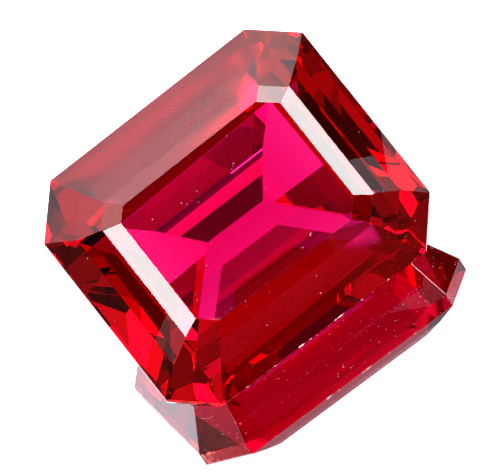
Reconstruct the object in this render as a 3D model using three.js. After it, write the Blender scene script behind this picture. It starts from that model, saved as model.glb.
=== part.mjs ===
// A loose step-cut ("emerald-cut") ruby, one piece of stone, lying on one of
// its lower pavilion facets with the table tipped towards the front.
//
// Units are millimetres, +Z up. The stone is described as it would be on a
// faceting diagram: every facet is a plane given by its azimuth about the
// table's normal, its slope measured from the girdle plane, and its distance
// from the centre of the upper girdle line. The stone is the space behind all
// of them, so no point is placed by hand.
//
// The eight sides are named by the corners of the outline that they join:
// AB (back long side), BC (corner), CD (right short side), DE (corner),
// EF (front long side), FG (corner), GH (left short side), HA (corner).
// c1..c3 are the crown steps from girdle to table, g is the girdle, p1..p3 are
// the pavilion steps from girdle to keel.

import * as THREE from 'three';

// Driving dimensions -------------------------------------------------------

// facets over the girdle: [name, azimuth deg, slope deg, distance mm]
const CROWN = [
  ['table', 0.000, 0.000, 1.41673],
  ['ABc1', 89.841, 35.428, 2.46971],
  ['ABc2', 89.841, 34.341, 2.42653],
  ['ABc3', 89.841, 31.453, 2.34492],
  ['BCc1', 48.502, 35.412, 3.26835],
  ['BCc2', 48.502, 29.646, 2.90910],
  ['BCc3', 48.502, 23.049, 2.57973],
  ['CDc1', -0.387, 42.486, 3.37713],
  ['CDc2', -0.387, 34.327, 2.96106],
  ['CDc3', -0.387, 24.376, 2.52479],
  ['DEc1', -42.611, 36.043, 3.37381],
  ['DEc2', -42.611, 32.169, 3.13123],
  ['DEc3', -42.611, 20.495, 2.51735],
  ['EFc1', -91.107, 37.866, 2.61503],
  ['EFc2', -91.107, 36.686, 2.56830],
  ['EFc3', -91.107, 28.410, 2.32483],
  ['FGc1', -132.663, 33.053, 3.08803],
  ['FGc2', -132.663, 31.554, 2.99536],
  ['FGc3', -132.663, 25.061, 2.66846],
  ['GHc1', 179.455, 41.029, 3.28217],
  ['GHc2', 179.455, 32.352, 2.83359],
  ['GHc3', 179.455, 24.341, 2.48601],
  ['HAc1', 136.128, 35.044, 3.21307],
  ['HAc2', 136.128, 32.933, 3.08440],
  ['HAc3', 136.128, 25.579, 2.71708],
];

// girdle band: vertical sides of the outline
const GIRDLE = [
  ['ABg', 89.841, 90.000, 4.26052],
  ['BCg', 48.502, 90.000, 5.64035],
  ['CDg', -0.387, 90.000, 5.00007],
  ['DEg', -42.611, 90.000, 5.73390],
  ['EFg', -91.107, 90.000, 4.26033],
  ['FGg', -132.663, 90.000, 5.66184],
  ['GHg', 179.455, 90.000, 4.99993],
  ['HAg', 136.128, 90.000, 5.59565],
];

// facets under the girdle
const PAVILION = [
  ['ABp1', 89.841, 51.543, 3.62311],
  ['ABp2', 90.051, 33.137, 3.55420],
  ['ABp3', 90.309, 26.575, 3.62467],
  ['ABpm', 90.548, 46.557, 3.50898],
  ['BCp1', 48.502, 55.296, 4.89952],
  ['CDp1', -0.387, 58.570, 4.50692],
  ['CDp2', 0.428, 42.565, 4.14393],
  ['CDp3', 0.223, 32.216, 4.00199],
  ['DEp1', -42.611, 55.525, 4.98791],
  ['DEp2', -41.658, 30.208, 4.26616],
  ['EFp1', -91.107, 52.502, 3.66078],
  ['FGp1', -132.663, 52.734, 4.78514],
  ['FGp2', -131.953, 33.375, 4.26934],
  ['GHp1', 179.455, 57.751, 4.47474],
  ['GHp2', 178.856, 43.939, 4.10432],
  ['GHp3', 179.568, 29.975, 3.99967],
  ['HAp1', 136.128, 54.127, 4.80449],
  ['HAp2', 136.361, 30.102, 4.25241],
  ['EFp3', -92.902, 28.954, 3.52313],
];

const REST_FACET = 'EFp3';   // pavilion facet that lies on the ground
const BLANK_HALF = 20;       // half width of the blank that the facets are cut from
const WELD = 0.003;          // corners closer than this are one corner

const RUBY = { color: 0xb0083c, roughness: 0.04, metalness: 0.0 };

// Facets as planes ---------------------------------------------------------

const rad = THREE.MathUtils.degToRad;

function facet([name, azimuth, slope, distance], below) {
  const s = Math.sin(rad(slope));
  const c = Math.cos(rad(slope)) * (below ? -1 : 1);
  const a = rad(azimuth);
  return {
    name,
    normal: new THREE.Vector3(s * Math.cos(a), s * Math.sin(a), slope === 90 ? 0 : c),
    distance,
  };
}

const facets = [
  ...CROWN.map((row) => facet(row, false)),
  ...GIRDLE.map((row) => facet(row, false)),
  ...PAVILION.map((row) => facet(row, true)),
];

// A facet's outline: a large square in its plane, cut back by every other
// facet in turn. Corners run anticlockwise seen from outside.
function outline(own) {
  const n = own.normal;
  const side = Math.abs(n.z) < 0.9 ? new THREE.Vector3(0, 0, 1) : new THREE.Vector3(1, 0, 0);
  const u = new THREE.Vector3().crossVectors(side, n).normalize();
  const v = new THREE.Vector3().crossVectors(n, u);
  const centre = n.clone().multiplyScalar(own.distance);
  let ring = [[-1, -1], [1, -1], [1, 1], [-1, 1]].map(([a, b]) => centre.clone()
    .addScaledVector(u, a * BLANK_HALF)
    .addScaledVector(v, b * BLANK_HALF));
  for (const other of facets) {
    if (other === own || ring.length === 0) continue;
    const kept = [];
    for (let i = 0; i < ring.length; i += 1) {
      const p = ring[i];
      const q = ring[(i + 1) % ring.length];
      const hp = other.normal.dot(p) - other.distance;
      const hq = other.normal.dot(q) - other.distance;
      if (hp <= 0) kept.push(p);
      if ((hp < 0 && hq > 0) || (hp > 0 && hq < 0)) {
        kept.push(p.clone().lerp(q, hp / (hp - hq)));
      }
    }
    ring = kept;
  }
  return ring;
}

// The closed body ----------------------------------------------------------

const corners = [];

function cornerIndex(p) {
  for (let i = 0; i < corners.length; i += 1) {
    if (corners[i].distanceTo(p) < WELD) return i;
  }
  corners.push(p.clone());
  return corners.length - 1;
}

const triangles = [];
for (const own of facets) {
  const ring = [];
  for (const p of outline(own)) {
    const i = cornerIndex(p);
    if (ring[ring.length - 1] !== i) ring.push(i);
  }
  if (ring.length > 1 && ring[0] === ring[ring.length - 1]) ring.pop();
  for (let k = 1; k + 1 < ring.length; k += 1) {
    triangles.push(ring[0], ring[k], ring[k + 1]);
  }
}

const geometry = new THREE.BufferGeometry();
geometry.setAttribute(
  'position',
  new THREE.Float32BufferAttribute(corners.flatMap((p) => [p.x, p.y, p.z]), 3),
);
geometry.setIndex(triangles);
geometry.computeVertexNormals();

// How it lies --------------------------------------------------------------

// Ground direction from the rest facet; the stone's length stays along X.
const up = facets.find((f) => f.name === REST_FACET).normal.clone().negate();
const along = new THREE.Vector3(1, 0, 0).addScaledVector(up, -up.x).normalize();
const away = new THREE.Vector3().crossVectors(up, along);
const lie = new THREE.Matrix4().makeBasis(along, away, up).transpose();

const ruby = new THREE.Mesh(
  geometry,
  new THREE.MeshStandardMaterial({ ...RUBY, flatShading: true }),
);
ruby.name = 'ruby';
ruby.quaternion.setFromRotationMatrix(lie);

// Origin: on the ground, under the middle of the stone's own box.
const box = new THREE.Box3();
for (const p of corners) box.expandByPoint(p.clone().applyMatrix4(lie));
const middle = box.getCenter(new THREE.Vector3());
ruby.position.set(-middle.x, -middle.y, -box.min.z);

const group = new THREE.Group();
group.name = 'step_cut_ruby';
group.add(ruby);

export default group;
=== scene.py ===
import math

import bmesh
import bpy
import numpy as np
from mathutils import Matrix, Vector


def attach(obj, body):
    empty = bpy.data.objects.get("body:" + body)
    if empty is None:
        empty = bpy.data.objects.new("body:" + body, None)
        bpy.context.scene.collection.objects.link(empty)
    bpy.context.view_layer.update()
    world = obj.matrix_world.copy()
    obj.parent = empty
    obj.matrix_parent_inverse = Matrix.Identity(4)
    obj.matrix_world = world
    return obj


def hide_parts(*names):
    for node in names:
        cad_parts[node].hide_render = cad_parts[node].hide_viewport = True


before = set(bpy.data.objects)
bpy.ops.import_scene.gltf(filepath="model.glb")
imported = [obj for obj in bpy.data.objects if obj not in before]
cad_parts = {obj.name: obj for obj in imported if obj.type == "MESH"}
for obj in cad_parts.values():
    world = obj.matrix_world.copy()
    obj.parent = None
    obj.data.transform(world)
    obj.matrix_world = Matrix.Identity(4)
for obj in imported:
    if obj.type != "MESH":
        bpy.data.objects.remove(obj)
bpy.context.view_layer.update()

# ---------------------------------------------------------------------------
# The stone's cutting table, as in the solid: azimuth about the table's normal,
# slope from the girdle plane, distance from the centre of the upper girdle
# line. Millimetres and degrees.
# ---------------------------------------------------------------------------
CROWN = [
    ("table", 0.000, 0.000, 1.41673),
    ("ABc1", 89.841, 35.428, 2.46971),
    ("ABc2", 89.841, 34.341, 2.42653),
    ("ABc3", 89.841, 31.453, 2.34492),
    ("BCc1", 48.502, 35.412, 3.26835),
    ("BCc2", 48.502, 29.646, 2.90910),
    ("BCc3", 48.502, 23.049, 2.57973),
    ("CDc1", -0.387, 42.486, 3.37713),
    ("CDc2", -0.387, 34.327, 2.96106),
    ("CDc3", -0.387, 24.376, 2.52479),
    ("DEc1", -42.611, 36.043, 3.37381),
    ("DEc2", -42.611, 32.169, 3.13123),
    ("DEc3", -42.611, 20.495, 2.51735),
    ("EFc1", -91.107, 37.866, 2.61503),
    ("EFc2", -91.107, 36.686, 2.56830),
    ("EFc3", -91.107, 28.410, 2.32483),
    ("FGc1", -132.663, 33.053, 3.08803),
    ("FGc2", -132.663, 31.554, 2.99536),
    ("FGc3", -132.663, 25.061, 2.66846),
    ("GHc1", 179.455, 41.029, 3.28217),
    ("GHc2", 179.455, 32.352, 2.83359),
    ("GHc3", 179.455, 24.341, 2.48601),
    ("HAc1", 136.128, 35.044, 3.21307),
    ("HAc2", 136.128, 32.933, 3.08440),
    ("HAc3", 136.128, 25.579, 2.71708),
]
GIRDLE = [
    ("ABg", 89.841, 90.000, 4.26052),
    ("BCg", 48.502, 90.000, 5.64035),
    ("CDg", -0.387, 90.000, 5.00007),
    ("DEg", -42.611, 90.000, 5.73390),
    ("EFg", -91.107, 90.000, 4.26033),
    ("FGg", -132.663, 90.000, 5.66184),
    ("GHg", 179.455, 90.000, 4.99993),
    ("HAg", 136.128, 90.000, 5.59565),
]
PAVILION = [
    ("ABp1", 89.841, 51.543, 3.62311),
    ("ABp2", 90.051, 33.137, 3.55420),
    ("ABp3", 90.309, 26.575, 3.62467),
    ("ABpm", 90.548, 46.557, 3.50898),
    ("BCp1", 48.502, 55.296, 4.89952),
    ("CDp1", -0.387, 58.570, 4.50692),
    ("CDp2", 0.428, 42.565, 4.14393),
    ("CDp3", 0.223, 32.216, 4.00199),
    ("DEp1", -42.611, 55.525, 4.98791),
    ("DEp2", -41.658, 30.208, 4.26616),
    ("EFp1", -91.107, 52.502, 3.66078),
    ("FGp1", -132.663, 52.734, 4.78514),
    ("FGp2", -131.953, 33.375, 4.26934),
    ("GHp1", 179.455, 57.751, 4.47474),
    ("GHp2", 178.856, 43.939, 4.10432),
    ("GHp3", 179.568, 29.975, 3.99967),
    ("HAp1", 136.128, 54.127, 4.80449),
    ("HAp2", 136.361, 30.102, 4.25241),
    ("EFp3", -92.902, 28.954, 3.52313),
]
REST_FACET = "EFp3"
MM = 0.001


def plane_of(row, below=False):
    name, az, slope, dist = row
    s, c = math.sin(math.radians(slope)), math.cos(math.radians(slope))
    a = math.radians(az)
    z = 0.0 if slope == 90.0 else (-c if below else c)
    return name, np.array([s * math.cos(a), s * math.sin(a), z]), float(dist)


PLANES = (
    [plane_of(r) for r in CROWN]
    + [plane_of(r) for r in GIRDLE]
    + [plane_of(r, True) for r in PAVILION]
)


def cut_faces(planes, weld):
    """Faces of the convex body behind every plane: {plane index: corner indices}, corners."""
    normals = np.array([p[1] for p in planes])
    dists = np.array([p[2] for p in planes])
    corners, faces = [], {}
    for i, (_, n, d) in enumerate(planes):
        side = np.array([0.0, 0.0, 1.0]) if abs(n[2]) < 0.9 else np.array([1.0, 0.0, 0.0])
        u = np.cross(side, n)
        u /= np.linalg.norm(u)
        v = np.cross(n, u)
        ring = [n * d + 20 * (a * u + b * v) for a, b in ((-1, -1), (1, -1), (1, 1), (-1, 1))]
        for j in range(len(planes)):
            if j == i or not ring:
                continue
            h = [float(normals[j] @ p - dists[j]) for p in ring]
            kept = []
            for k in range(len(ring)):
                m = (k + 1) % len(ring)
                if h[k] <= 0:
                    kept.append(ring[k])
                if (h[k] < 0 < h[m]) or (h[m] < 0 < h[k]):
                    kept.append(ring[k] + (ring[m] - ring[k]) * (h[k] / (h[k] - h[m])))
            ring = kept
        loop = []
        for p in ring:
            for k, q in enumerate(corners):
                if abs(p[0] - q[0]) < weld and abs(p[1] - q[1]) < weld and abs(p[2] - q[2]) < weld:
                    break
            else:
                k = len(corners)
                corners.append(p)
            if not loop or loop[-1] != k:
                loop.append(k)
        if len(loop) > 1 and loop[0] == loop[-1]:
            loop.pop()
        if len(loop) > 2:
            faces[i] = loop
    return faces, np.array(corners)


# how the stone lies: the rest facet down, the length along X
up = -next(n for name, n, d in PLANES if name == REST_FACET)
along = np.array([1.0, 0.0, 0.0]) - up * up[0]
along /= np.linalg.norm(along)
LIE = np.array([along, np.cross(up, along), up])
sharp_faces, sharp = cut_faces(PLANES, 0.003)
lying = sharp @ LIE.T
SHIFT = np.array([
    -(lying[:, 0].min() + lying[:, 0].max()) / 2,
    -(lying[:, 1].min() + lying[:, 1].max()) / 2,
    -lying[:, 2].min(),
])


def place(points):
    """Stone frame in millimetres to the row frame in metres."""
    return (np.asarray(points, float) @ LIE.T + SHIFT) * MM


def turn(directions):
    return np.asarray(directions, float) @ LIE.T


# camera, in the stone frame
CAM_EYE = (-10.5591, -10.9181, 124.9983)   # mm
CAM_AXES = (                     # right, down and ahead
    (0.781873, -0.623257, 0.015000),
    (-0.617846, -0.777852, -0.114946),
    (0.083309, 0.080605, -0.993259),
)
CAM_LENS = 304.689
FLOOR_Z = -0.000193

# what the crystal absorbs, per metre of path: density times (1 - colour)
ABSORB_COLOR = (0.943, 0.006, 0.585, 1.0)
ABSORB_DENSITY = 950.0
SMEAR = 0.02    # roughness of the smears
SOFT = 0.20     # roughness of the duller crown side

# panels around the stone: name, azimuth to the right of straight away from the
# camera, elevation, width and height in degrees, radiance. Later ones stand nearer.
PANELS = [
    ("left_box", -132.5, 33.8, 28.9, 32.2, 9.86),
    ("right_box", 95.5, 39.8, 21.0, 12.9, 9.49),
    ("far_box", 0.6, 46.2, 62.0, 16.2, 2.89),
    ("far_right", 69.1, 67.6, 19.8, 27.5, 6.61),
    ("far_left", -26.9, 39.4, 31.8, 18.2, 2.27),
    ("far_low", -15.2, 30.8, 33.4, 21.0, 0.86),
    ("top_left", -71.5, 66.6, 48.8, 25.0, 2.12),
    ("near_card", -161.3, 74.5, 39.0, 11.0, 0.10),
    ("left_low", -146.6, 30.9, 43.6, 22.4, 0.55),
    ("right_card", 71.5, 13.6, 22.0, 23.1, 0.11),
    ("left_card", -106.3, 24.6, 7.7, 6.2, 0.00),
    ("near_high", 159.9, 46.1, 54.0, 24.2, 0.91),
    ("far_mid", 2.6, 20.2, 57.1, 6.6, 1.39),
    ("near_low", 169.4, 7.0, 9.2, 17.9, 0.05),
    ("near_card_2", -151.0, 57.0, 20.0, 13.0, 0.10),
    ("near_card_3", 164.6, 46.6, 7.4, 9.9, 0.52),
    ("near_high_2", 142.8, 53.0, 16.6, 6.4, 0.42),
    ("far_gap", -3.0, 26.8, 60.0, 4.2, 0.15),
    ("far_left_low", -46.0, 16.3, 14.0, 4.6, 2.20),
    ("far_right_low", 47.0, 36.0, 20.0, 14.0, 1.90),
    ("right_near", 130.0, 29.0, 18.0, 14.0, 0.03),
    ("left_near", -159.0, 21.0, 12.0, 8.0, 0.15),
    ("pale_1", 124.0, 15.0, 10.0, 8.0, 1.00),
    ("pale_2", -101.0, 3.0, 10.0, 7.0, 1.00),
    ("pale_3", -56.0, 25.0, 10.0, 8.0, 1.10),
]
# the rest of the studio: radiance against the sine of elevation, far and near side
FAR_SIDE = [(0, 0.73), (0.2, 1.04), (0.45, 0.79), (0.7, 1.59), (0.875, 1.26), (0.93, 0.31), (1, 0.24)]
NEAR_SIDE = [(0, 0.17), (0.2, 0.18), (0.45, 0.58), (0.7, 0.25), (0.875, 1.51), (0.93, 0.50), (1, 0.60)]
WORLD_TURN = 5.0     # degrees by which the dividing line is turned
WORLD_EDGE = -0.012
WORLD_BLEND = 0.080
COOL = (1.0, 0.97, 1.06)   # the far side is lit a little cooler
COOL_PANELS = ("far_box", "far_mid", "far_low", "far_left")
TONE_CURVE = [(0, 0), (0.006, 0.0003), (0.016, 0.0030), (0.028, 0.0110), (0.05, 0.036), (0.13, 0.103), (0.3, 0.248), (0.45, 0.402), (0.6, 0.600), (0.75, 0.79), (0.88, 0.95), (1, 1.05)]

# ---------------------------------------------------------------------------
# Marks that the photograph shows
# ---------------------------------------------------------------------------
SPECKS = [   # facet, place in the stone frame (mm), length (mm)
    ("ABc2", (-2.92, 3.08, 0.84), 0.050),
    ("table", (-2.10, 1.33, 1.42), 0.040),
    ("table", (-2.04, 2.07, 1.42), 0.020),
    ("table", (-1.13, 1.17, 1.42), 0.042),
    ("table", (-0.87, 1.07, 1.42), 0.020),
    ("table", (-1.61, 1.12, 1.42), 0.022),
    ("table", (-1.43, 1.09, 1.42), 0.018),
    ("table", (-0.56, 1.17, 1.42), 0.040),
    ("table", (-0.53, 1.06, 1.42), 0.022),
    ("table", (0.66, 1.04, 1.42), 0.034),
    ("table", (0.80, 1.14, 1.42), 0.050),
    ("table", (0.73, 1.09, 1.42), 0.022),
    ("table", (1.15, 1.91, 1.42), 0.045),
    ("table", (1.55, 1.04, 1.42), 0.036),
    ("table", (1.74, 1.80, 1.42), 0.022),
    ("BCc2", (3.67, 2.59, 0.86), 0.042),
    ("table", (0.70, -0.17, 1.42), 0.026),
    ("table", (-0.15, 0.40, 1.42), 0.020),
    ("GHc1", (-4.27, 1.69, 0.62), 0.036),
    ("ABc2", (-1.79, 2.85, 0.99), 0.030),
    ("table", (-2.56, -1.36, 1.42), 0.045),
    ("EFc3", (-1.45, -2.26, 1.40), 0.045),
    ("table", (-1.93, -2.16, 1.42), 0.028),
    ("table", (-2.13, -2.16, 1.42), 0.028),
    ("table", (0.84, -2.07, 1.42), 0.045),
    ("table", (1.25, -1.93, 1.42), 0.070),
    ("table", (1.30, -1.89, 1.42), 0.040),
    ("EFc2", (0.68, -2.95, 1.02), 0.036),
    ("EFc1", (0.48, -3.41, 0.67), 0.060),
    ("DEc1", (3.51, -3.65, 0.50), 0.036),
    ("CDc2", (3.81, -2.20, 0.97), 0.040),
    ("EFc2", (2.24, -2.85, 1.11), 0.022),
    ("EFp1", (-0.28, -4.25, -0.47), 0.070),
    ("EFg", (-0.33, -4.25, -0.40), 0.050),
    ("EFp1", (-0.03, -4.21, -0.52), 0.060),
    ("EFg", (0.15, -4.26, -0.37), 0.048),
    ("EFg", (0.23, -4.27, -0.38), 0.040),
    ("EFp1", (1.29, -4.25, -0.50), 0.048),
    ("FGp1", (-3.65, -3.77, -1.00), 0.050),
    ("EFp1", (-3.56, -3.86, -0.90), 0.048),
    ("EFp1", (-3.60, -4.05, -0.64), 0.045),
    ("FGp1", (-3.88, -3.95, -0.63), 0.045),
    ("FGp1", (-3.80, -3.92, -0.74), 0.040),
    ("FGp1", (-4.15, -3.52, -0.81), 0.040),
    ("FGp1", (-4.12, -3.30, -1.05), 0.040),
    ("EFp1", (3.29, -4.05, -0.81), 0.050),
    ("EFp1", (3.19, -4.19, -0.63), 0.055),
    ("EFp1", (3.22, -4.25, -0.56), 0.040),
    ("EFp1", (3.14, -4.07, -0.79), 0.045),
    ("DEp1", (4.07, -3.47, -1.03), 0.055),
    ("DEp1", (4.15, -3.37, -1.04), 0.040),
    ("DEp1", (4.24, -3.46, -0.85), 0.050),
    ("DEp1", (4.72, -3.29, -0.51), 0.045),
    ("DEp1", (4.79, -3.21, -0.51), 0.045),
    ("EFg", (3.69, -4.33, -0.44), 0.050),
    ("DEp1", (4.15, -3.75, -0.66), 0.040),
    ("DEp1", (4.44, -2.84, -1.25), 0.045),
    ("DEp1", (4.47, -2.86, -1.20), 0.048),
    ("EFp1", (2.59, -3.99, -0.88), 0.040),
    ("EFp1", (2.10, -4.14, -0.68), 0.050),
    ("EFp1", (1.58, -4.02, -0.81), 0.040),
    ("EFp1", (2.35, -4.30, -0.46), 0.045),
    ("EFp1", (2.78, -4.25, -0.55), 0.040),
    ("EFp1", (0.76, -3.80, -1.08), 0.035),
    ("EFp1", (-1.01, -3.89, -0.92), 0.035),
    ("EFp1", (-1.92, -4.02, -0.73), 0.035),
    ("EFp1", (-1.62, -3.76, -1.07), 0.030),
    ("EFp1", (2.90, -3.89, -1.01), 0.040),
    ("EFp1", (3.45, -3.80, -1.15), 0.035),
    ("EFp1", (1.13, -4.14, -0.65), 0.040),
    ("EFg", (1.81, -4.30, -0.34), 0.040),
    ("EFg", (0.59, -4.27, -0.25), 0.035),
]
FIBRES = [   # facet, points along the fibre
    ("FGp1", ((-4.342, -2.821, -1.309), (-4.262, -2.942, -1.263), (-4.162, -3.047, -1.251), (-4.036, -3.132, -1.281))),
]
CHIPS = [    # place on the girdle (mm), length and height (mm)
    ((-0.904, -4.244, -0.076), 0.270, 0.085),
    ((0.593, -4.273, -0.058), 0.270, 0.055),
    ((-0.529, -4.251, -0.030), 0.070, 0.035),
    ((0.395, -4.269, -0.111), 0.060, 0.035),
    ((2.376, -4.307, -0.017), 0.090, 0.030),
    ((1.380, -4.288, -0.121), 0.050, 0.022),
    ((-2.903, -4.205, -0.177), 0.060, 0.020),
    ((-1.871, -4.225, -0.063), 0.050, 0.020),
]

# ---------------------------------------------------------------------------
# Small helpers
# ---------------------------------------------------------------------------
def new_object(name, verts, faces):
    mesh = bpy.data.meshes.new(name)
    mesh.from_pydata([tuple(map(float, v)) for v in verts], [], [list(map(int, f)) for f in faces])
    mesh.validate()
    mesh.update()
    obj = bpy.data.objects.new(name, mesh)
    bpy.context.scene.collection.objects.link(obj)
    return obj


class Nodes:
    """Shorthand for building a node tree."""

    def __init__(self, tree):
        self.tree = tree
        tree.nodes.clear()

    def add(self, kind, values=None, **props):
        node = self.tree.nodes.new(kind)
        for k, v in props.items():
            setattr(node, k, v)
        for k, v in (values or {}).items():
            if hasattr(v, "is_output"):
                self.tree.links.new(v, node.inputs[k])
            else:
                node.inputs[k].default_value = v
        return node

    def math(self, op, a, b=0.0, c=None, clamp=False):
        values = {0: a, 1: b}
        if c is not None:
            values[2] = c
        return self.add("ShaderNodeMath", values, operation=op, use_clamp=clamp).outputs[0]

    def dot(self, a, b):
        return self.add("ShaderNodeVectorMath", {0: a, 1: b}, operation="DOT_PRODUCT").outputs["Value"]

    def step(self, value, lo, hi, to_lo=0.0, to_hi=1.0, smooth=True):
        return self.add(
            "ShaderNodeMapRange",
            {"Value": value, "From Min": lo, "From Max": hi, "To Min": to_lo, "To Max": to_hi},
            interpolation_type="SMOOTHSTEP" if smooth else "LINEAR",
        ).outputs["Result"]

    def link(self, a, b):
        self.tree.links.new(a, b)


def material(name):
    mat = bpy.data.materials.new(name)
    mat.use_nodes = True
    return mat, Nodes(mat.node_tree)


# ---------------------------------------------------------------------------
# The stone: the same facets, with every facet edge worn to a fine line
# ---------------------------------------------------------------------------
EDGE = 0.007          # width of the worn line on a polished edge, mm
GIRDLE_EDGE = 0.014   # along the girdle, mm
# edges that are worn wider: {pair of facets: (width in mm, lean towards the second)}
WIDE_EDGES = {
    ("FGc1", "FGg"): (0.100, 0.38),
    ("DEc1", "DEg"): (0.030, 0.40),
    ("DEp1", "EFp1"): (0.026, 0.50),
    ("EFp1", "FGp1"): (0.014, 0.50),
    ("BCc1", "CDc1"): (0.016, 0.50),
    ("EFp1", "EFp3"): (0.0, 0.50),
    ("EFg", "EFp1"): (0.0, 0.50),
    ("ABp1", "ABpm"): (0.0, 0.50),
    ("ABg", "ABp1"): (0.0, 0.50),
}


def is_girdle(name):
    return name.endswith("g")


def worn_planes():
    owners = {}
    for i, loop in sharp_faces.items():
        for a, b in zip(loop, loop[1:] + loop[:1]):
            owners.setdefault(frozenset((a, b)), []).append(i)
    planes = list(PLANES)
    for edge in sorted(owners, key=lambda e: tuple(sorted(e))):
        sides = sorted(owners[edge], key=lambda k: PLANES[k][0])
        if len(sides) != 2:
            continue
        (na, ni, _), (nb, nj, _) = PLANES[sides[0]], PLANES[sides[1]]
        angle = math.acos(max(-1.0, min(1.0, float(ni @ nj))))
        if angle < math.radians(5):
            continue
        width, lean = WIDE_EDGES.get((na, nb), (GIRDLE_EDGE if is_girdle(na) or is_girdle(nb) else EDGE, 0.5))
        if width == 0.0:
            continue
        n = (1 - lean) * ni + lean * nj
        n /= np.linalg.norm(n)
        one, two = math.acos(float(n @ ni)), math.acos(float(n @ nj))
        depth = width / (1 / math.tan(one) + 1 / math.tan(two))
        planes.append(("edge", n, float(n @ sharp[sorted(edge)[0]]) - depth))
    return planes


all_planes = worn_planes()
worn_faces, worn = cut_faces(all_planes, 2e-6)
order = sorted(worn_faces)
gem = new_object("ruby_stone", place(worn), [worn_faces[i] for i in order])
bm = bmesh.new()
bm.from_mesh(gem.data)
bmesh.ops.recalc_face_normals(bm, faces=bm.faces)
bm.to_mesh(gem.data)
bm.free()
SOFT_FACETS = {"ABc1": 1.0, "ABc2": 1.0, "ABc3": 0.8, "EFc2": 1.1, "HAc1": 0.35, "HAc2": 0.35, "BCc1": 0.35, "BCc2": 0.35}
soft = gem.data.attributes.new("soft", "FLOAT", "FACE")
worn_edge = gem.data.attributes.new("worn", "FLOAT", "FACE")
girdle = gem.data.attributes.new("girdle", "FLOAT", "FACE")
for k, i in enumerate(order):
    name = all_planes[i][0]
    soft.data[k].value = SOFT_FACETS.get(name, 0.0)
    worn_edge.data[k].value = 1.0 if name == "edge" else 0.0
    girdle.data[k].value = 1.0 if is_girdle(name) else 0.0

ruby, n = material("ruby")
coords = n.add("ShaderNodeTexCoord").outputs["Object"]
soft_value = n.add("ShaderNodeAttribute", attribute_name="soft").outputs["Fac"]
worn_value = n.add("ShaderNodeAttribute", attribute_name="worn").outputs["Fac"]
girdle_value = n.add("ShaderNodeAttribute", attribute_name="girdle").outputs["Fac"]
# smears left on the polish, a duller crown side, a rubbed girdle
smear = n.add("ShaderNodeTexNoise", {"Vector": coords, "Scale": 520.0, "Detail": 5.0}).outputs["Fac"]
grain = n.add("ShaderNodeTexNoise", {"Vector": coords, "Scale": 9000.0, "Detail": 3.0}).outputs["Fac"]
rough = n.step(smear, 0.52, 0.80, 0.0, SMEAR)
rough = n.math("MULTIPLY_ADD", soft_value, n.math("MULTIPLY_ADD", smear, 0.08, SOFT - 0.04), rough)
rough = n.math("MULTIPLY_ADD", worn_value, 0.05, rough)
rough = n.math("MULTIPLY_ADD", girdle_value, n.math("MULTIPLY_ADD", grain, 0.06, 0.01), rough)
# polishing lines and the girdle's fine grain
lines = n.add("ShaderNodeTexNoise", {"Vector": n.add("ShaderNodeVectorMath", {0: coords, 1: (300.0, 5200.0, 3100.0)}, operation="MULTIPLY").outputs["Vector"], "Scale": 1.0, "Detail": 2.0}).outputs["Fac"]
ripple = n.math("MULTIPLY_ADD", girdle_value, n.math("MULTIPLY", grain, 2.0), n.math("MULTIPLY", lines, 0.10))
bump = n.add("ShaderNodeBump", {"Height": ripple, "Strength": 0.15, "Distance": 0.000002})
skin = n.add(
    "ShaderNodeBsdfPrincipled",
    {
        "Base Color": (1.0, 1.0, 1.0, 1.0),
        "Roughness": rough,
        "IOR": 1.768,
        "Transmission Weight": 1.0,
        "Normal": bump.outputs["Normal"],
    },
)
depth = n.add("ShaderNodeVolumeAbsorption", {"Color": ABSORB_COLOR, "Density": ABSORB_DENSITY})
out = n.add("ShaderNodeOutputMaterial", {"Surface": skin.outputs[0], "Volume": depth.outputs[0]})
gem.data.materials.append(ruby)
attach(gem, "root")
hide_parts("ruby")

# ---------------------------------------------------------------------------
# Dirt that the stone carries: specks of dust, a few fibres, chips on the girdle
# ---------------------------------------------------------------------------
rng = np.random.default_rng(7)
NORMALS = {name: normal for name, normal, _ in PLANES}
DISTANCES = {name: dist for name, _, dist in PLANES}
INDEX = {p[0]: i for i, p in enumerate(PLANES)}


def frame_on(name):
    normal = NORMALS[name]
    one = np.cross(normal, [0.0, 0.0, 1.0] if abs(normal[2]) < 0.9 else [1.0, 0.0, 0.0])
    one /= np.linalg.norm(one)
    return normal, one, np.cross(normal, one)


def inside(name, count, bias=None):
    """Random places on a facet; bias thins them out."""
    normal, one, two = frame_on(name)
    ring = sharp[sharp_faces[INDEX[name]]]
    flat = np.stack([ring @ one, ring @ two], 1)
    low, high = flat.min(0), flat.max(0)
    turn_sign = 1.0 if sum(
        a[0] * b[1] - a[1] * b[0] for a, b in zip(flat, np.roll(flat, -1, 0))
    ) > 0 else -1.0
    places = []
    while len(places) < count:
        p = low + rng.random(2) * (high - low)
        gap = min(
            turn_sign * ((b[0] - a[0]) * (p[1] - a[1]) - (b[1] - a[1]) * (p[0] - a[0])) / np.linalg.norm(b - a)
            for a, b in zip(flat, np.roll(flat, -1, 0))
            if np.linalg.norm(b - a) > 1e-6
        )
        chance = rng.random()
        spot = one * p[0] + two * p[1] + normal * DISTANCES[name]
        if gap > 0.04 and (bias is None or chance < bias(spot)):
            places.append(spot)
    return places


ball = bmesh.new()
bmesh.ops.create_icosphere(ball, subdivisions=2, radius=0.5)
BALL = np.array([v.co[:] for v in ball.verts])
BALL_FACES = [[v.index for v in f.verts] for f in ball.faces]
ball.free()


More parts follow.
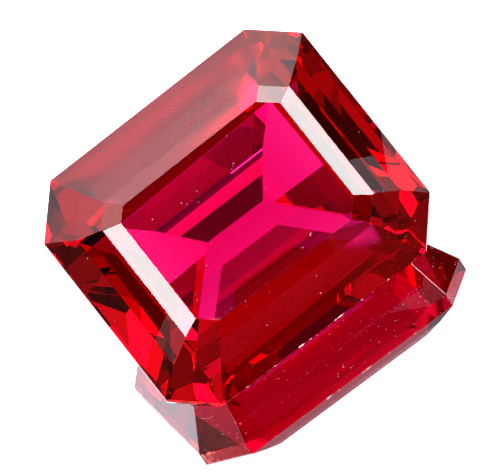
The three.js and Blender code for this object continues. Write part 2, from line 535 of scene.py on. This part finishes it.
def speck(parts, name, spot, size, flat=0.35):
    normal, one, two = frame_on(name)
    spin = rng.random() * math.pi
    a = one * math.cos(spin) + two * math.sin(spin)
    b = np.cross(normal, a)
    slim = 0.45 + 0.5 * rng.random()
    waves = rng.normal(size=(3, 3)) * 3.0
    lump = 1 + 0.22 * np.sin(BALL @ waves.T * 2.2).sum(1)
    local = BALL * lump[:, None]
    height = size * flat * (0.6 + 0.5 * rng.random())
    shape = (
        np.asarray(spot)
        + normal * height * 0.28
        + np.outer(local[:, 0] * size, a)
        + np.outer(local[:, 1] * size * slim, b)
        + np.outer(local[:, 2] * height, normal)
    )
    parts.append((shape, BALL_FACES))


def fibre(parts, name, points, radius=0.0045):
    """A thin tube along points that lie on a facet, lifted a little off it."""
    normal = NORMALS[name]
    control = np.array(points, float)
    line = []
    for k in range(len(control) - 1):
        p0, p1, p2, p3 = control[max(k - 1, 0)], control[k], control[k + 1], control[min(k + 2, len(control) - 1)]
        for t in np.linspace(0, 1, 8, endpoint=k == len(control) - 2):
            line.append(0.5 * ((2 * p1) + (p2 - p0) * t + (2 * p0 - 5 * p1 + 4 * p2 - p3) * t * t + (3 * p1 - p0 - 3 * p2 + p3) * t**3))
    line = np.array(line) + normal * radius * 1.2
    verts, faces, around = [], [], 6
    for k, p in enumerate(line):
        ahead_line = line[min(k + 1, len(line) - 1)] - line[max(k - 1, 0)]
        ahead_line /= np.linalg.norm(ahead_line)
        across = np.cross(ahead_line, normal)
        across /= np.linalg.norm(across)
        over = np.cross(across, ahead_line)
        for j in range(around):
            w = 2 * math.pi * j / around
            verts.append(p + radius * (across * math.cos(w) + over * math.sin(w)))
    for k in range(len(line) - 1):
        for j in range(around):
            m = (j + 1) % around
            faces.append([k * around + j, k * around + m, (k + 1) * around + m, (k + 1) * around + j])
    faces.append(list(range(around))[::-1])
    faces.append([(len(line) - 1) * around + j for j in range(around)])
    parts.append((np.array(verts), faces))


def joined(name, parts):
    verts, faces = [], []
    for shape, loops in parts:
        base = len(verts)
        verts += list(shape)
        faces += [[base + k for k in loop] for loop in loops]
    obj = new_object(name, place(verts), faces)
    bm = bmesh.new()
    bm.from_mesh(obj.data)
    bmesh.ops.recalc_face_normals(bm, faces=bm.faces)
    bm.to_mesh(obj.data)
    bm.free()
    for poly in obj.data.polygons:
        poly.use_smooth = True
    return obj


bits = []
for name, spot, size in SPECKS:
    speck(bits, name, spot, 0.7 * size)
for name, count, bias in (
    ("EFp1", 190, lambda p: 0.25 + 0.75 * max(0.0, min(1.0, 0.5 + p[0] / 7.0))),
    ("DEp1", 40, None), ("FGp1", 34, None), ("EFg", 26, None), ("EFc1", 14, None),
    ("FGc1", 5, None), ("DEc1", 5, None), ("GHp1", 14, None), ("CDp1", 12, None),
    ("table", 26, lambda p: 0.9 if p[1] > 0.9 else 0.25), ("ABc1", 8, None), ("CDc1", 7, None),
    ("GHc1", 7, None), ("EFc3", 7, None), ("EFc2", 9, None), ("ABp1", 16, None), ("BCc1", 4, None),
):
    for spot in inside(name, count, bias):
        speck(bits, name, spot, 0.007 + 0.019 * rng.random() ** 3)
for name, points in FIBRES:
    fibre(bits, name, points)
dust = joined("dust", bits)

lint, n = material("dust")
coords = n.add("ShaderNodeTexCoord").outputs["Object"]
mottle = n.add("ShaderNodeTexNoise", {"Vector": coords, "Scale": 3500.0, "Detail": 3.0}).outputs["Fac"]
tone = n.add("ShaderNodeValToRGB", {0: mottle})
tone.color_ramp.elements[0].position, tone.color_ramp.elements[0].color = 0.3, (0.62, 0.55, 0.54, 1.0)
tone.color_ramp.elements[1].position, tone.color_ramp.elements[1].color = 0.7, (0.93, 0.90, 0.89, 1.0)
fuzz = n.add("ShaderNodeBump", {"Height": mottle, "Strength": 0.5, "Distance": 0.000006})
skin = n.add("ShaderNodeBsdfPrincipled", {"Base Color": tone.outputs[0], "Roughness": 0.85, "Normal": fuzz.outputs["Normal"]})
n.add("ShaderNodeOutputMaterial", {"Surface": skin.outputs[0]})
dust.data.materials.append(lint)
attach(dust, "root")

# pale crumbs where the upper edge of the girdle has flaked: rows of small splinters along the edge
flakes = []
lower_crown = "EFc1"
crown_n, girdle_n = NORMALS[lower_crown], NORMALS["EFg"]
along_edge = np.cross(girdle_n, crown_n)
along_edge /= np.linalg.norm(along_edge)
outward = (crown_n + girdle_n) / np.linalg.norm(crown_n + girdle_n)
rising = np.cross(along_edge, outward)
rising *= np.sign(rising[2])
rows = np.array([girdle_n, crown_n, along_edge])
for spot, length, height in CHIPS:
    on_edge = np.linalg.solve(rows, [DISTANCES["EFg"], DISTANCES[lower_crown], float(along_edge @ np.asarray(spot))])
    for k in range(max(2, round(length / 0.022))):
        place_on = rng.random() * 2 - 1
        swell = math.sqrt(max(0.05, 1 - place_on * place_on))
        size = np.array([0.030 + 0.055 * rng.random(), height * swell * (0.55 + 0.45 * rng.random()), 0.030 * swell])
        tilt = (rng.random() - 0.5) * 0.7
        a = along_edge * math.cos(tilt) + rising * math.sin(tilt)
        b = rising * math.cos(tilt) - along_edge * math.sin(tilt)
        waves = rng.normal(size=(3, 3)) * 3.0
        local = BALL * (1 + 0.18 * np.sin(BALL @ waves.T * 2.4).sum(1))[:, None]
        middle = on_edge + along_edge * place_on * (length / 2 - 0.02) + rising * height * 0.22 * (rng.random() - 0.2) - outward * 0.002
        flakes.append((
            middle + np.outer(local[:, 0] * size[0], a) + np.outer(local[:, 1] * size[1], b) + np.outer(local[:, 2] * size[2], outward),
            BALL_FACES,
        ))
scars = joined("girdle_flakes", flakes)
scar, n = material("flaked_edge")
coords = n.add("ShaderNodeTexCoord").outputs["Object"]
shells = n.add("ShaderNodeTexWave", {"Vector": coords, "Scale": 9000.0, "Distortion": 6.0, "Detail": 2.0}).outputs["Fac"]
tone = n.add("ShaderNodeValToRGB", {0: shells})
tone.color_ramp.elements[0].color = (0.97, 0.86, 0.91, 1.0)
tone.color_ramp.elements[1].color = (1.0, 0.98, 0.98, 1.0)
step_bump = n.add("ShaderNodeBump", {"Height": shells, "Strength": 0.4, "Distance": 0.000008})
skin = n.add("ShaderNodeBsdfPrincipled", {"Base Color": tone.outputs[0], "Roughness": 0.5, "Normal": step_bump.outputs["Normal"]})
n.add("ShaderNodeOutputMaterial", {"Surface": skin.outputs[0]})
scars.data.materials.append(scar)
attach(scars, "root")

# ---------------------------------------------------------------------------
# Floor: a mirror silvered on its back, so that the reflecting face lies a
# little below the stone
# ---------------------------------------------------------------------------
floor = new_object("floor", [(-2, -2, FLOOR_Z), (2, -2, FLOOR_Z), (2, 2, FLOOR_Z), (-2, 2, FLOOR_Z)], [(0, 1, 2, 3)])
mirror, n = material("polished_floor")
coords = n.add("ShaderNodeTexCoord").outputs["Object"]
skin = n.add(
    "ShaderNodeBsdfPrincipled",
    {"Base Color": (0.9, 0.9, 0.9, 1.0), "Metallic": 1.0, "Roughness": 0.0},
)
n.add("ShaderNodeOutputMaterial", {"Surface": skin.outputs[0]})
floor.data.materials.append(mirror)

# ---------------------------------------------------------------------------
# Camera: where the photograph was taken from, in the stone's own frame
# ---------------------------------------------------------------------------
cam_data = bpy.data.cameras.new("camera")
cam = bpy.data.objects.new("camera", cam_data)
bpy.context.scene.collection.objects.link(cam)
eye = place([CAM_EYE])[0]
right, down, ahead = turn(CAM_AXES)
cam.matrix_world = Matrix([
    [right[0], -down[0], -ahead[0], eye[0]],
    [right[1], -down[1], -ahead[1], eye[1]],
    [right[2], -down[2], -ahead[2], eye[2]],
    [0, 0, 0, 1],
])
cam_data.sensor_width = 36.0
cam_data.lens = CAM_LENS
cam_data.clip_start, cam_data.clip_end = 0.005, 20.0
bpy.context.scene.camera = cam

# ---------------------------------------------------------------------------
# Light: a pale studio all round, with soft boxes. Directions are given by
# azimuth, measured to the right of straight away from the camera, and by
# elevation over the floor.
# ---------------------------------------------------------------------------
away = Vector((ahead[0], ahead[1], 0)).normalized()
side = away.cross(Vector((0, 0, 1)))


def direction(az, el):
    a, e = math.radians(az), math.radians(el)
    return (away * math.cos(a) + side * math.sin(a)) * math.cos(e) + Vector((0, 0, math.sin(e)))


def panel(name, az, el, width, height, level, distance, tint=(1.0, 1.0, 1.0)):
    """A curved panel seen from the stone as width by height degrees, of the given radiance."""
    centre, up_axis = direction(az, el), None
    across = direction(az + 90, 0)
    up_axis = across.cross(centre)
    steps = 12
    tw, th = math.tan(math.radians(width / 2)), math.tan(math.radians(height / 2))
    verts, faces = [], []
    for j in range(steps + 1):
        for i in range(steps + 1):
            d = centre + across * tw * (2 * i / steps - 1) + up_axis * th * (2 * j / steps - 1)
            verts.append(d.normalized() * distance)
    for j in range(steps):
        for i in range(steps):
            k = j * (steps + 1) + i
            faces.append((k, k + 1, k + steps + 2, k + steps + 1))
    obj = new_object(name, verts, faces)
    mat, n = material(name)
    glow = n.add("ShaderNodeEmission", {"Color": (*tint, 1.0), "Strength": level})
    n.add("ShaderNodeOutputMaterial", {"Surface": glow.outputs[0]})
    obj.data.materials.append(mat)
    obj.visible_camera = False
    return obj


for k, row in enumerate(PANELS):
    panel(*row, 0.62 - 0.008 * k, COOL if row[0] in COOL_PANELS else (1.0, 1.0, 1.0))

world = bpy.data.worlds.new("studio")
bpy.context.scene.world = world
world.use_nodes = True
n = Nodes(world.node_tree)
ray = n.add("ShaderNodeTexCoord").outputs["Generated"]
height = n.dot(ray, (0.0, 0.0, 1.0))
turned = math.radians(WORLD_TURN)
ahead_dir = away * math.cos(turned) + side * math.sin(turned)
forward = n.dot(ray, tuple(ahead_dir))


def profile(levels, tint):
    ramp = n.add("ShaderNodeValToRGB", {0: height})
    ramp.color_ramp.interpolation = "LINEAR"
    bits = ramp.color_ramp.elements
    while len(bits) < len(levels):
        bits.new(0.5)
    for bit, (at, value) in zip(bits, levels):
        bit.position = at
    for bit, (at, value) in zip(bits, levels):
        bit.color = (value / 4 * tint[0], value / 4 * tint[1], value / 4 * tint[2], 1.0)
    return ramp.outputs[0]


far_side, near_side = profile(FAR_SIDE, COOL), profile(NEAR_SIDE, (1.0, 1.0, 1.0))
lean = n.math("DIVIDE", n.math("SUBTRACT", WORLD_EDGE, forward), 2 * WORLD_BLEND)
near_part = n.math("MULTIPLY_ADD", n.math("TANH", lean), 0.5, 0.5)
sky = n.add("ShaderNodeMix", {0: near_part, 6: far_side, 7: near_side}, data_type="RGBA").outputs[2]
glow = n.add("ShaderNodeBackground", {"Color": sky, "Strength": 4.0})
n.add("ShaderNodeOutputWorld", {"Surface": glow.outputs[0]})

# ---------------------------------------------------------------------------
# How the picture is taken
# ---------------------------------------------------------------------------
scene = bpy.context.scene
scene.view_settings.view_transform = "Standard"
scene.view_settings.look = "None"
# the contrast of the photograph: deeper darks, brighter lights
scene.view_settings.use_curve_mapping = True
curves = scene.view_settings.curve_mapping
curves.clip_max_x = curves.clip_max_y = 1.2
curve = curves.curves[3]
for x, y in TONE_CURVE[1:-1]:
    curve.points.new(x, y)
for point, (x, y) in zip(curve.points, TONE_CURVE):
    point.location = (x, y)
    point.handle_type = "AUTO"
curves.update()
scene.cycles.max_bounces = 32
scene.cycles.transmission_bounces = 32
scene.cycles.glossy_bounces = 16
scene.cycles.transparent_max_bounces = 16
scene.cycles.volume_bounces = 0
scene.cycles.caustics_reflective = True
scene.cycles.caustics_refractive = True
scene.cycles.sample_clamp_indirect = 0.0
scene.cycles.blur_glossy = 0.0
